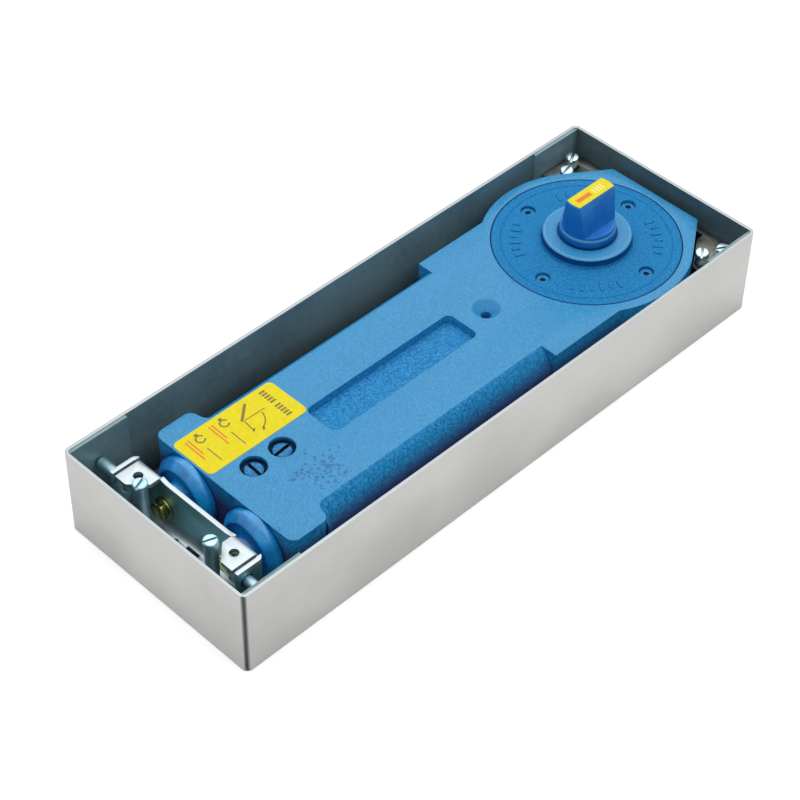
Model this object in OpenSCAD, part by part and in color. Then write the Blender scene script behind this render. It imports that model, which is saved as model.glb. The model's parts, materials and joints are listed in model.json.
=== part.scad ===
// Floor spring door closer: a flat double-cylinder hydraulic closer in its cement box.
// +Z is up. The origin is the middle of the box, at its underside.
// +X runs from the regulating end of the box to the spindle end.

/* [Cement box] */
// Thickness of the folded box sheet
sheet = 1.5; // [1:0.1:2.5]
// Height of the box
box_h = 44; // [42:1:60]
// Outer radius of the bent vertical corners
box_r = 3; // [2.6:0.1:5]
// Width of the open seam at each bent corner
seam_w = 1; // [0.4:0.1:1.5]
// Free length between the box end and the casting, at the regulating end
bay_l = 35.5; // [34:0.5:50]
// Free length between the casting and the box, at the spindle end
head_gap = 3.5; // [3.2:0.1:8]
// Free width between the round head and the box wall, each side
side_gap = 4.8; // [4.2:0.1:12]
// Length of the end flaps folded inside the long walls, at the regulating end
flap_l = 30; // [20:1:40]
// Length of the end flaps folded inside the long walls, at the spindle end
flap_r_l = 29; // [12:1:36]

/* [Casting] */
// Length of the casting
body_l = 264; // [258:1:290]
// Height of the casting
body_h = 33.5; // [33:0.5:38]
// Gap under the casting at its lowest setting
body_gap = 1.5; // [1:0.1:4]
// Distance from the spindle axis to the flat head end of the casting
head_back = 47; // [45:0.5:52]
// Distance from the spindle axis to the step where the head meets the waist
head_front = 65; // [62:0.5:70]
// Half width of the straight part of the head
head_half_w = 41; // [38:0.5:43]
// Half width of the flat head end
head_end_half_w = 25.3; // [20:0.5:30]
// Corner radius of the flat head end
head_corner_r = 1.5; // [0.5:0.1:3]
// Rim of the casting around the cover
head_rim = 4.65; // [3:0.05:7]
// Length of the square lug at the regulating end
lug_l = 20; // [17:0.5:26]
// Half width of the lug
lug_half_w = 41.5; // [38:0.5:44]
// Corner radius of the lug
lug_r = 4; // [2:0.5:6]
// Length of the cast pocket in the top face
pocket_l = 84.5; // [60:0.5:86]
// Width of the cast pocket
pocket_w = 18; // [10:1:20]
// Depth of the cast pocket
pocket_d = 4; // [2:0.5:4.5]
// Corner radius of the cast pocket
pocket_r = 3; // [1:0.5:5]
// Distance from the head step to the near end of the pocket
pocket_from_step = 14; // [12:0.5:20]
// Radius of the through fixing hole
fix_hole_r = 2.3; // [2:0.1:3]
// Radius of its countersink at the top face
fix_csk_r = 6.4; // [5:0.1:7]
// Distance from the spindle axis to the fixing hole
fix_from_spindle = 64.8; // [64:0.1:66]

/* [Cylinders] */
// Distance of each cylinder axis from the centre line
cyl_y = 20; // [19.5:0.1:22]
// Height of the cylinder axes above the middle of the casting
cyl_rise = 0.45; // [0:0.05:0.5]
// Wall between the bores and the top of the casting, with the axes at its middle
bore_wall = 3.25; // [3:0.05:4]
// Radius of the cove where the barrels meet the lug
cove_r = 4; // [2:0.5:5]
// Wall of the barrels around the bores
barrel_wall = 7; // [5:0.1:8]
// Running clearance of the pistons in their bores
piston_fit = 0.04; // [0.02:0.01:0.08]
// Length of each piston
piston_l = 24; // [20:1:30]
// Radius of the push rods
rod_r = 4; // [3:0.1:4.2]
// Wire diameter of the closing springs
wire_d = 2.9; // [2:0.1:3.4]
// Distance between the bores and the middle of the spring wire
coil_in = 3.1; // [2.6:0.1:3.4]
// Active turns of each closing spring
coil_turns = 12; // [8:1:14]
// How far the end plug flanges stand out beyond the bores
plug_over = 2.8; // [2.2:0.1:3.4]
// How far the end plugs stand out of the casting
plug_out = 6.5; // [4:0.1:8]
// How far the end plug threads are wider than the bores
plug_thread_over = 1.5; // [1.1:0.1:1.6]
// Length of the end plug threads
plug_thread_l = 12; // [8:0.5:14]

/* [Cover and spindle] */
// Radius of the round cover
cover_r = 43; // [41:0.1:45]
// Radial gap around the cover
cover_fit = 0.05; // [0.03:0.01:0.2]
// Thickness of the cover
cover_t = 6; // [5:0.1:7]
// Radius of the hub on the cover
hub_r = 20; // [18:0.1:22]
// Height of the hub above the cover
hub_h = 2.9; // [2:0.1:4]
// Pitch radius of the cover screws
cover_screw_pr = 32.5; // [31.5:0.1:34]
// Angle of the first cover screw
cover_screw_a = 6; // [0:1:45]
// Radius of the counterbores in the cover
cover_cbore_r = 3.4; // [3.3:0.1:4]
// Radius of the cam chamber
chamber_r = 28; // [26.5:0.1:29]
// Radius of the spindle in its upper bearing
spindle_r = 12; // [11:0.1:13]
// Radius of the spindle below the cam
journal_r = 8; // [7:0.1:8.5]
// Radius of the round collar above the hub
collar_r = 13; // [12.5:0.1:14]
// Height of the spindle top above the casting
spindle_up = 27.2; // [22:0.1:40]
// Thickness of the flat spindle end at its root
flat_root = 14; // [12:0.1:16]
// Thickness of the flat spindle end at its top
flat_top = 8; // [6:0.1:11]
// Radial clearance of the spindle in its bearings
spindle_fit = 0.04; // [0.02:0.01:0.08]

/* [Cam drive] */
// Largest door opening
open_a = 130; // [90:5:135]
// Cam rise for each degree of opening
cam_rise = 0.1; // [0.06:0.01:0.1]
// Distance from the spindle axis to the roller axis with the door closed
roller_off = 17.5; // [17:0.1:18]
// Radius of the cam roller
roller_r = 6; // [5:0.1:6.2]
// Radius of the roller pin
pin_r = 3; // [2:0.1:3.2]
// Clearance between the cam and the roller
cam_gap = 0.03; // [0.02:0.01:0.06]
// Height in the casting that the cam and roller leave to the plates, cover and floor
cam_room = 17; // [16.8:0.1:19]
// Thickness of the two slide plates
plate_t = 2.5; // [1.5:0.1:2.8]
// Half width of the slide plates
plate_half_w = 11; // [8:0.5:12]
// Radius of the slide plates' rounded ends
plate_nose_r = 4.5; // [4:0.1:5]
// Distance of the rivets from the centre line
rivet_y = 6.5; // [5:0.1:7.5]
// Radius of the rivets
rivet_r = 1.5; // [1:0.1:1.8]
// Distance from the roller axis to the spring side of the crosshead
slide_l = 23.5; // [23:0.1:24]
// Length of the crosshead along the travel
cross_l = 8; // [7:0.5:9]
// Half width of the crosshead
cross_half_w = 26; // [25:0.5:28]

/* [Regulating valves] */
// Distance from the lug face to the outer valve
valve_1_in = 17; // [14:0.1:18]
// Distance between the two valves
valve_pitch = 15.5; // [13:0.1:17]
// Radius of the valve heads
valve_r = 4.5; // [4:0.1:4.7]
// Radius of the counterbores around the valve heads
valve_cbore_r = 5.8; // [5.1:0.1:6]
// Depth of the valve heads below the casting's top face
valve_down = 1.6; // [0.5:0.1:2]

/* [Brackets and screws] */
// Thickness of the regulating-end bracket
brk_t = 2; // [1.5:0.1:3]
// Distance from the lug face to the back of the bracket wall
brk_off = 12; // [10:0.5:13]
// Length of the bracket tabs and cheeks, from the back of the wall
brk_l = 14; // [13.5:0.1:18]
// Length of the bracket foot, from the back of the wall
foot_l = 19.5; // [18.8:0.1:20.5]
// Free height between the bracket washers and the bend of the foot
foot_gap = 0.2; // [0.1:0.1:1]
// Outer radius of the bend between wall and foot
foot_bend_r = 5.5; // [3:0.1:6]
// Outer half width over the cheeks
cheek_half_w = 38.4; // [37:0.1:41]
// Level of the tabs below the casting's top face
tab_down = 0.5; // [0.2:0.1:3]
// Inner half width between the tabs
tab_in = 21.5; // [20:0.1:23]
// Half distance between the cover plate holes
tab_hole_y = 28.7; // [28:0.1:30]
// Radius of the cover plate holes
tab_hole_r = 2.1; // [1.6:0.1:2.6]
// Distance of the cover plate holes from the back of the bracket wall
tab_hole_in = 7.2; // [6:0.1:8]
// Width across flats of the bracket bolts
bolt_af = 8; // [7:0.5:10]
// Height of the bracket bolts' heads
bolt_head_t = 3; // [2:0.1:4]
// Radius of the bracket washers
washer_r = 5; // [4.8:0.1:6]
// Thickness of the bracket washers
washer_t = 1; // [0.6:0.1:1.2]
// Width across flats of the nuts under the bracket foot
nut_af = 10; // [9:0.5:10]
// Height of the nuts under the bracket foot
nut_h = 5; // [3:0.5:5]
// Width across flats of the nuts inside the cheeks
side_nut_af = 8; // [7:0.5:9]
// Height of the nuts inside the cheeks
side_nut_h = 4; // [3:0.5:5]
// Radius of the side screws
side_screw_r = 2.5; // [2:0.1:2.5]
// Radius of the levelling screws
lev_r = 2.9; // [2.4:0.1:3]
// Clearance of a screw in its thread
thread_fit = 0.05; // [0.02:0.01:0.1]
// Half distance between the levelling screws at the regulating end
lev_y = 21; // [20.5:0.1:21.5]
// Distance of those screws from the back of the bracket wall
lev_in = 12.3; // [11.8:0.1:12.8]
// Height of the levelling screw tops above the casting, at the regulating end
lev_up = 5; // [3:0.1:7]
// Radius of the screw heads
head_r = 3.2; // [3:0.1:3.3]
// Height of the screw heads
head_t = 2.6; // [2:0.1:3]
// Largest lift of the closer on its levelling screws
lift = 3; // [1:0.5:3]
// Thickness of the spindle-end bracket
wing_t = 2; // [1.5:0.1:3]
// Distance of the wing tips ahead of the spindle axis
wing_reach = 26.5; // [24:0.5:28]
// Depth of the spindle-end wings below the casting's top face
wing_down = 6.5; // [6.2:0.1:8]
// Distance of the spindle-end levelling screws ahead of the spindle axis
wing_lev_x = 32; // [31.5:0.1:33]
// Half distance between the spindle-end levelling screws
wing_lev_y = 40.6; // [40:0.1:41]
// Depth of those screws' tops below the casting's top face
wing_lev_down = 0.5; // [0:0.1:1.5]
// Distance of the hold-down screws ahead of the spindle axis
hold_x = 41; // [40.5:0.1:41.5]
// Half distance between the hold-down screws
hold_y = 45.2; // [45:0.1:45.5]
// Width across flats of the weld nuts in the box
weld_nut_af = 9.5; // [8:0.5:10]
// Height of the weld nuts in the box
weld_nut_h = 5; // [3:0.5:6]
// Radius of the screws that hold the spindle-end bracket
end_screw_r = 2.5; // [2:0.1:3]
// Radius of their low heads
end_screw_head_r = 4.4; // [4:0.1:5]
// Height of their low heads
end_screw_head_t = 1.2; // [1:0.1:1.3]

/* [Labels] */
// Length of the label on the casting
label_l = 53.7; // [40:0.1:55]
// Width of the label
label_w = 23.8; // [15:0.1:24]
// Distance of the label from the lug face
label_in = 1; // [1:0.1:4]
// Distance of the label from the centre line
label_y = 8; // [7:0.1:12]
// Thickness of the labels
label_t = 0.15; // [0.1:0.05:0.3]

/* [Hidden] */
$fn = 64;

// Small overlap that keeps cuts clean
eps = 0.2;

// Heights
body_z0 = sheet + body_gap;
body_z1 = body_z0 + body_h;
cyl_z = body_z0 + body_h / 2 + cyl_rise;
seat_z = body_z1 - cover_t;
chamber_z0 = body_z0 + 3;
bearing_z0 = body_z0 + 1.6;
bearing_h = 4;
cam_z0 = body_z0 + 9;
cam_h = body_h - cover_t - cam_room;
cam_z1 = cam_z0 + cam_h;
plate_gap = 0.5;
low_plate_z = cam_z0 - plate_gap - plate_t;
up_plate_z = cam_z1 + plate_gap;
channel_z0 = low_plate_z - 1;
channel_z1 = up_plate_z + plate_t + 0.7;

// Outer sizes
head_round_r = cover_r + cover_fit + head_rim;
box_l = body_l + bay_l + head_gap + 2 * sheet;
box_w = 2 * (head_round_r + side_gap + sheet);
bore_r = body_h / 2 - bore_wall;
barrel_r = bore_r + barrel_wall;
coil_r = bore_r - coil_in;
plug_r = bore_r + plug_over;
plug_thread_r = bore_r + plug_thread_over;

// Places along X
head_x = box_l / 2 - sheet - head_gap;
lug_x = head_x - body_l;
spindle_x = head_x - head_back;
step_x = spindle_x - head_front;
pocket_x1 = step_x - pocket_from_step;
fix_x = spindle_x - fix_from_spindle;
roller_x = spindle_x - roller_off;
travel = cam_rise * open_a;
cross_x0 = roller_x - slide_l;
channel_x0 = cross_x0 - travel - 5;
piston_x1 = channel_x0 - 4;
piston_x0 = piston_x1 - piston_l;
valve_x = [lug_x + valve_1_in, lug_x + valve_1_in + valve_pitch];
wall_x = lug_x - brk_off;
tab_z = body_z1 - tab_down;
wing_z = body_z1 - wing_down;

// Cover screws
screw_r = 1.95;
screw_head_r = 3.1;
screw_head_t = 2;
cbore_d = 3.2;
screw_l = 6.4;

// A cylinder between two values of x
module along_x(x0, x1, r, y = 0, z = 0, r2 = undef) {
    translate([x0, y, z]) rotate([0, 90, 0])
        cylinder(h = x1 - x0, r1 = r, r2 = is_undef(r2) ? r : r2);
}

// A cylinder between two values of y
module along_y(y0, y1, r, x = 0, z = 0) {
    translate([x, y0, z]) rotate([-90, 0, 0]) cylinder(h = y1 - y0, r = r);
}

// A profile of (radius, x) points turned about a line along X
module turned_x(points, y = 0, z = 0) {
    translate([0, y, z]) rotate([0, 90, 0]) rotate_extrude() polygon(points);
}

// A box between two corners
module block(low, high) {
    translate(low) cube(high - low);
}

// A plan outline with round corners
module round_rect(x0, x1, y0, y1, r) {
    translate([x0 + r, y0]) square([x1 - x0 - 2 * r, y1 - y0]);
    translate([x0, y0 + r]) square([x1 - x0, y1 - y0 - 2 * r]);
    for (x = [x0 + r, x1 - r], y = [y0 + r, y1 - r]) translate([x, y]) circle(r);
}

// Round ring of round section, about Z
module ring_z(r, section_r, z) {
    translate([0, 0, z]) rotate_extrude() translate([r, 0]) circle(section_r, $fn = 20);
}

// ---- Cement box ----

// Plan outline of the folded box wall, grown inwards by a step
module box_plan(inset) {
    r = max(box_r - inset, 0.5);
    round_rect(-box_l / 2 + inset, box_l / 2 - inset, -box_w / 2 + inset, box_w / 2 - inset, r);
}

// One end flap, folded in against a long wall
module box_flap(x0, x1, side) {
    y = side * (box_w / 2 - sheet * 1.5);
    translate([x0, y - sheet / 2, sheet]) cube([x1 - x0, sheet, box_h - sheet - 0.4]);
}

module cement_box() {
    color("gainsboro") difference() {
        union() {
            difference() {
                linear_extrude(box_h) box_plan(0);
                translate([0, 0, sheet]) linear_extrude(box_h) box_plan(sheet);
            }
            for (side = [-1, 1]) {
                box_flap(-box_l / 2 + sheet, -box_l / 2 + sheet + flap_l, side);
                box_flap(box_l / 2 - sheet - flap_r_l, box_l / 2 - sheet, side);
            }
        }
        for (end = [-1, 1], side = [-1, 1])
            translate([end * box_l / 2, side * (box_w / 2 - seam_w), box_h / 2 + sheet * 2])
                cube([1.4 * sheet, seam_w, box_h], center = true);
    }
}

module hex_nut(h, af, hole_r) {
    difference() {
        cylinder(h = h, r = af / 2 / cos(30), $fn = 6);
        translate([0, 0, -eps]) cylinder(h = h + 2 * eps, r = hole_r);
    }
}

module box_weld_nuts() {
    color("silver") for (side = [-1, 1])
        translate([spindle_x + hold_x, side * hold_y, sheet])
            hex_nut(weld_nut_h, weld_nut_af, lev_r + thread_fit);
}

// A slotted machine screw standing on its tip
module slotted_screw(z0, z1, turn = 0) {
    slot_w = 1.1;
    slot_d = 1.2;
    tip = 1;
    difference() {
        union() {
            translate([0, 0, z0]) cylinder(h = tip, r1 = lev_r - tip, r2 = lev_r);
            translate([0, 0, z0 + tip]) cylinder(h = z1 - z0 - tip - head_t, r = lev_r);
            translate([0, 0, z1 - head_t]) cylinder(h = head_t - 0.5, r = head_r);
            translate([0, 0, z1 - 0.5]) cylinder(h = 0.5, r1 = head_r, r2 = head_r - 0.5);
        }
        rotate(turn) translate([-head_r - eps, -slot_w / 2, z1 - slot_d])
            cube([2 * head_r + 2 * eps, slot_w, slot_d + eps]);
    }
}

module hold_down_screws() {
    color("lightsteelblue") for (side = [-1, 1])
        translate([spindle_x + hold_x, side * hold_y, 0])
            slotted_screw(sheet + 1, wing_z + lift + head_t + 0.4, 30 * side);
}

// ---- Casting ----

// Tangent point on a circle of radius r about the origin, seen from a point p with y above 0
function tangent_point(p, r) =
    let (d = norm(p), a = atan2(p.y, p.x) + acos(r / d)) [r * cos(a), r * sin(a)];

// Points that round the corner between the edge from p to c and the edge from c towards -Y
function corner_arc(p, c, r) =
    let (a0 = atan2(c.y - p.y, c.x - p.x) + 90, cut = r * tan(a0 / 2),
        m = [c.x - r, c.y - cut])
    [for (i = [4:-1:0]) m + r * [cos(a0 * i / 4), sin(a0 * i / 4)]];

// Plan outline of the head, grown outwards by a step
module head_plan(grow = 0) {
    r = head_round_r + grow;
    corner = [head_back + grow, head_end_half_w + grow];
    t = tangent_point(corner, r);
    arc = corner_arc(t, corner, head_corner_r);
    translate([spindle_x, 0]) {
        intersection() {
            circle(r, $fn = 128);
            translate([-r, -r]) square([r + corner.x, 2 * r]);
        }
        polygon(concat([[0, 0], t], arc,
            [for (i = [len(arc) - 1:-1:0]) [arc[i].x, -arc[i].y]], [[t.x, -t.y]]));
    }
    translate([step_x - grow, -head_half_w - grow])
        square([head_front + grow, 2 * (head_half_w + grow)]);
}

// Half section (radius, x) of a barrel with the cove that joins it to the lug
function barrel_points() =
    let (face = lug_x + lug_l, skin = 0.05)
    concat([[0, face - 1], [barrel_r + cove_r, face - 1]],
        [for (a = [0:15:90])
            [barrel_r - skin + cove_r * (1 - sin(a)), face + cove_r * (1 - cos(a))]],
        [[0, face + cove_r]]);

module waist_solid() {
    intersection() {
        union() {
            for (side = [-1, 1]) {
                along_x(lug_x + 1, step_x + 1, barrel_r, side * cyl_y, cyl_z, $fn = 96);
                turned_x(barrel_points(), side * cyl_y, cyl_z, $fn = 96);
            }
            block([lug_x + 1, -cyl_y, body_z0], [step_x + 1, cyl_y, body_z1]);
        }
        block([lug_x, -lug_half_w, body_z0], [step_x + 2, lug_half_w, body_z1]);
    }
}

// The two cylinder bores, with the wider thread at the plug end
module cylinder_bores() {
    for (side = [-1, 1]) {
        along_x(lug_x - 1, channel_x0 + 3, bore_r, side * cyl_y, cyl_z);
        along_x(lug_x - 1, lug_x + plug_thread_l + 0.5, plug_thread_r + 0.05,
            side * cyl_y, cyl_z);
    }
}

// Cam chamber, the channel that the slide runs in, and the seats for cover and bearing
module head_cavity() {
    translate([spindle_x, 0, 0]) {
        translate([0, 0, chamber_z0]) cylinder(h = body_h, r = chamber_r, $fn = 96);
        translate([0, 0, seat_z]) cylinder(h = cover_t + 1, r = cover_r + cover_fit, $fn = 128);
        translate([0, 0, bearing_z0]) cylinder(h = 4, r = journal_r + 4.6);
        for (i = [0:3]) rotate(cover_screw_a + 90 * i) translate([cover_screw_pr, 0, 0])
            translate([0, 0, body_z1 - cbore_d - screw_l - 0.1])
                cylinder(h = 10, r = screw_r + thread_fit);
    }
    block([channel_x0, -cross_half_w - 2, channel_z0],
        [spindle_x - chamber_r + 8, cross_half_w + 2, channel_z1]);
}

// Bores, counterbores and the cross drilling of one regulating valve
module valve_bore(x) {
    translate([x, 0, 0]) {
        translate([0, 0, body_z1 - 3.2]) cylinder(h = 5, r = valve_cbore_r);
        translate([0, 0, body_z0 + 19]) cylinder(h = body_h, r = valve_r + piston_fit);
        translate([0, 0, body_z0 + 9]) cylinder(h = 12, r = 2.6);
        along_y(-cyl_y, cyl_y, 1.5, 0, body_z0 + 11);
    }
}

module housing() {
    color("steelblue") difference() {
        union() {
            translate([0, 0, body_z0]) linear_extrude(body_h)
                round_rect(lug_x, lug_x + lug_l, -lug_half_w, lug_half_w, lug_r);
            waist_solid();
            translate([0, 0, body_z0]) linear_extrude(body_h) head_plan();
        }
        cylinder_bores();
        head_cavity();
        for (x = valve_x) valve_bore(x);
        translate([0, 0, body_z1 - pocket_d]) linear_extrude(pocket_d + 1)
            round_rect(pocket_x1 - pocket_l, pocket_x1, -pocket_w / 2, pocket_w / 2, pocket_r);
        translate([fix_x, 0, body_z0 - 1]) cylinder(h = body_h + 2, r = fix_hole_r);
        translate([fix_x, 0, body_z1 - fix_csk_r + fix_hole_r])
            cylinder(h = fix_csk_r, r1 = fix_hole_r, r2 = fix_hole_r + fix_csk_r);
        for (side = [-1, 1]) along_x(head_x - 10, head_x + 1,
            end_screw_r + thread_fit, side * end_screw_y, end_screw_z);
    }
}

// ---- Cover ----

hub_z = body_z1 + hub_h;
bush_z = seat_z - 2.5;
bush_h = 7.5;
bush_r = spindle_r + 4;
seal_z = bush_z + bush_h + 0.3;
seal_h = hub_z - seal_z - 1.2;
spigot_h = 2;
seal_ring_r = 0.75;

module cover() {
    line_r = 38.5;
    spigot_r = chamber_r - 0.1;
    color("royalblue") translate([spindle_x, 0, 0]) difference() {
        rotate_extrude($fn = 128) polygon([
            [collar_r - 0.6, bush_z], [spigot_r, bush_z],
            [spigot_r, seat_z], [cover_r, seat_z],
            [cover_r, body_z1 - 0.3], [cover_r - 0.3, body_z1],
            [line_r + 0.3, body_z1], [line_r, body_z1 - 0.4], [line_r - 0.3, body_z1],
            [hub_r + 3, body_z1], [hub_r + 0.8, body_z1 + 0.9],
            [hub_r, body_z1 + 1], [hub_r, hub_z - 0.8], [hub_r - 0.8, hub_z],
            [collar_r + 1.2, hub_z], [collar_r + 0.2, hub_z - 0.6],
            [collar_r - 0.6, hub_z - 0.6]]);
        translate([0, 0, bush_z - 1]) cylinder(h = bush_h + 1, r = bush_r);
        translate([0, 0, seal_z - 0.31]) cylinder(h = seal_h + 0.31, r = bush_r);
        translate([0, 0, seat_z]) rotate_extrude()
            translate([chamber_r - seal_ring_r, -spigot_h / 2 - 0.1]) square([2, 2 * seal_ring_r],
                center = true);
        for (i = [0:3]) rotate(cover_screw_a + 90 * i) translate([cover_screw_pr, 0, 0]) {
            translate([0, 0, seat_z - 1]) cylinder(h = 20, r = screw_r + 0.2);
            translate([0, 0, body_z1 - cbore_d]) cylinder(h = 20, r = cover_cbore_r);
        }
    }
}

module cover_screws() {
    socket_r = 1.45;
    color("midnightblue") for (i = [0:3])
        translate([spindle_x, 0, 0]) rotate(cover_screw_a + 90 * i)
            translate([cover_screw_pr, 0, body_z1 - cbore_d]) difference() {
                union() {
                    translate([0, 0, -screw_l]) cylinder(h = screw_l, r = screw_r);
                    cylinder(h = screw_head_t, r = screw_head_r);
                }
                translate([0, 0, screw_head_t - 1.2]) cylinder(h = 2, r = socket_r, $fn = 6);
            }
}

module cover_seal() {
    color("black") translate([spindle_x, 0, 0])
        ring_z(chamber_r - seal_ring_r - 0.03, seal_ring_r - 0.02, seat_z - spigot_h / 2 - 0.1);
}

module spindle_seal() {
    color("black") translate([spindle_x, 0, seal_z]) rotate_extrude() polygon([
        [spindle_r + spindle_fit, seal_h - 0.6], [spindle_r + 0.9, seal_h - 0.2],
        [bush_r - 0.03, seal_h - 0.2], [bush_r - 0.03, 0.1], [bush_r - 1.2, 0.1],
        [bush_r - 1.2, seal_h - 1.6], [spindle_r + 0.9, seal_h - 1.6],
        [spindle_r + spindle_fit, seal_h - 1]]);
}

// A plain bearing bush about the spindle
module bush(z, h, r_in, r_out) {
    translate([spindle_x, 0, z]) rotate_extrude() polygon([
        [r_in, 0.3], [r_in + 0.3, 0], [r_out - 0.3, 0], [r_out, 0.3],
        [r_out, h - 0.3], [r_out - 0.3, h], [r_in + 0.3, h], [r_in, h - 0.3]]);
}

module upper_bearing() {
    color("goldenrod") bush(bush_z, bush_h, spindle_r + spindle_fit, bush_r - 0.02);
}

module lower_bearing() {
    color("goldenrod") bush(bearing_z0, bearing_h, journal_r + spindle_fit, journal_r + 4.5);
}

disc_t = 1;
module thrust_disc() {
    color("silver") translate([spindle_x, 0, bearing_z0]) cylinder(h = disc_t, r = journal_r - 0.5);
}

// ---- Spindle ----

spindle_z0 = bearing_z0 + disc_t + 0.03;
journal_z1 = cam_z1 + 0.05;
spindle_z1 = body_z1 + spindle_up;
collar_z0 = hub_z - 0.4;
collar_h = 3.2;
collar_cone = 0.9;
flat_z0 = collar_z0 + collar_h + collar_cone + 1;
key_w = 3;
clip_t = 1;
clip_z = cam_z0 - clip_t - 0.1;

// Cut of one tapered flat, on the side of +Y
module flat_cut() {
    slope = atan((flat_root - flat_top) / 2 / (spindle_z1 - flat_z0));
    translate([-2 * spindle_r, flat_root / 2, flat_z0]) rotate([slope, 0, 0])
        cube([4 * spindle_r, 2 * spindle_r, 2 * spindle_up]);
}

module spindle() {
    color("mediumblue") translate([spindle_x, 0, 0]) difference() {
        rotate_extrude($fn = 96) polygon([
            [0, spindle_z0], [journal_r - 0.5, spindle_z0], [journal_r, spindle_z0 + 0.5],
            [journal_r, clip_z], [journal_r - 0.8, clip_z],
            [journal_r - 0.8, clip_z + clip_t + 0.06],
            [journal_r, clip_z + clip_t + 0.06], [journal_r, journal_z1],
            [spindle_r, journal_z1], [spindle_r, collar_z0],
            [collar_r, collar_z0], [collar_r, collar_z0 + collar_h],
            [spindle_r + 0.2, collar_z0 + collar_h + collar_cone],
            [spindle_r + 0.2, spindle_z1 - 0.4], [spindle_r - 0.2, spindle_z1], [0, spindle_z1]]);
        flat_cut();
        mirror([0, 1, 0]) flat_cut();
        block([journal_r - 1.6, -key_w / 2, cam_z0 + 0.5], [journal_r + 1, key_w / 2, cam_z1 - 0.4]);
    }
}

// Distance from the spindle axis to the roller axis, at an opening a
function pitch_r(a) = roller_off + cam_rise * min(abs(a), open_a + 3);
// A point of the roller's path around the cam; the closed position lies towards -X
function pitch_at(a) = -pitch_r(a) * [cos(a), sin(a)];
// Point of the cam face under the roller, at an opening a above 0
function cam_face(a) =
    let (step = 0.01, t = pitch_at(a + step) - pitch_at(a - step), n = [-t.y, t.x] / norm(t))
    pitch_at(a) + (roller_r + cam_gap) * n;
cam_step = 3;
nose_a = atan(cam_rise * 180 / PI / roller_off);
// The notch that holds the roller with the door closed, then one flank of the heart
cam_notch = [for (i = [-3:3]) let (a = nose_a * i / 3)
    [-roller_off, 0] + (roller_r + cam_gap) * [cos(a), sin(a)]];
cam_flank = [for (a = [cam_step:cam_step:180 - cam_step / 2]) cam_face(a)];

module heart_cam() {
    count = len(cam_flank);
    back = [pitch_r(180) - roller_r - cam_gap, 0];
    outline = concat(
        [for (i = [6:-1:0]) cam_notch[i]],
        cam_flank,
        [back],
        [for (i = [count - 1:-1:0]) [cam_flank[i].x, -cam_flank[i].y]]);
    color("dimgray") translate([spindle_x, 0, cam_z0]) difference() {
        linear_extrude(cam_h) polygon(outline);
        translate([0, 0, -eps]) cylinder(h = cam_h + 2 * eps, r = journal_r + 0.03);
        block([journal_r - 1, -key_w / 2 - 0.02, -eps],
            [journal_r + 1.6, key_w / 2 + 0.02, cam_h + eps]);
    }
}

module cam_key() {
    color("silver") block([spindle_x + journal_r - 1.55, -key_w / 2 + 0.02, cam_z0 + 0.55],
        [spindle_x + journal_r + 1.5, key_w / 2 - 0.02, cam_z1 - 0.5]);
}

module cam_circlip() {
    color("darkgray") translate([spindle_x, 0, clip_z + 0.03]) difference() {
        cylinder(h = clip_t, r = journal_r + 1.8);
        translate([0, 0, -eps]) cylinder(h = clip_t + 2 * eps, r = journal_r - 0.75);
        rotate(90) translate([0, -1.5, -eps]) cube([journal_r + 3, 3, clip_t + 2 * eps]);
    }
}

module spindle_label() {
    color("gold") translate([spindle_x, 0, spindle_z1]) linear_extrude(label_t)
        intersection() {
            circle(spindle_r - 0.3);
            square([2 * spindle_r, flat_top - 0.5], center = true);
        }
}

// ---- Cam slide, pistons and springs ----

cross_x1 = cross_x0 + cross_l;
cross_z0 = low_plate_z;
cross_z1 = up_plate_z + plate_t;
rod_x0 = piston_x1 - 5;
rod_x1 = cross_x0 + 4;

module crosshead() {
    color("slategray") difference() {
        block([cross_x0, -cross_half_w, cross_z0], [cross_x1, cross_half_w, cross_z1]);
        block([cross_x0 - eps, -plate_half_w - 0.1, cross_z0 - eps],
            [cross_x1 + eps, plate_half_w + 0.1, cam_z0 - plate_gap]);
        block([cross_x0 - eps, -plate_half_w - 0.1, up_plate_z],
            [cross_x1 + eps, plate_half_w + 0.1, cross_z1 + eps]);
        for (side = [-1, 1]) {
            along_x(cross_x0 - eps, rod_x1 + 0.05, rod_r + 0.03, side * cyl_y, cyl_z);
            translate([cross_x0 + cross_l / 2, side * rivet_y, cross_z0])
                cylinder(h = cross_z1 - cross_z0, r = rivet_r + 0.05);
        }
    }
}

// One of the two plates that carry the roller
module slide_plate(z) {
    nose_x = roller_x + 1;
    translate([0, 0, z]) linear_extrude(plate_t) difference() {
        union() {
            translate([cross_x0, -plate_half_w]) square([cross_l + 4, 2 * plate_half_w]);
            polygon([[cross_x0 + cross_l + 4, -plate_half_w], [nose_x, -plate_nose_r],
                [nose_x, plate_nose_r], [cross_x0 + cross_l + 4, plate_half_w]]);
            translate([nose_x - 0.5, 0]) circle(plate_nose_r);
        }
        translate([roller_x, 0]) circle(pin_r + 0.02);
        for (side = [-1, 1]) translate([cross_x0 + cross_l / 2, side * rivet_y])
            circle(rivet_r + 0.05);
    }
}

module upper_slide_plate() { color("darkgray") slide_plate(up_plate_z); }
module lower_slide_plate() { color("darkgray") slide_plate(low_plate_z); }

module plate_rivets() {
    color("silver") for (side = [-1, 1])
        translate([cross_x0 + cross_l / 2, side * rivet_y, cross_z0])
            cylinder(h = cross_z1 - cross_z0, r = rivet_r);
}

module roller_pin() {
    color("silver") translate([roller_x, 0, low_plate_z])
        cylinder(h = cross_z1 - cross_z0, r = pin_r);
}

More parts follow.
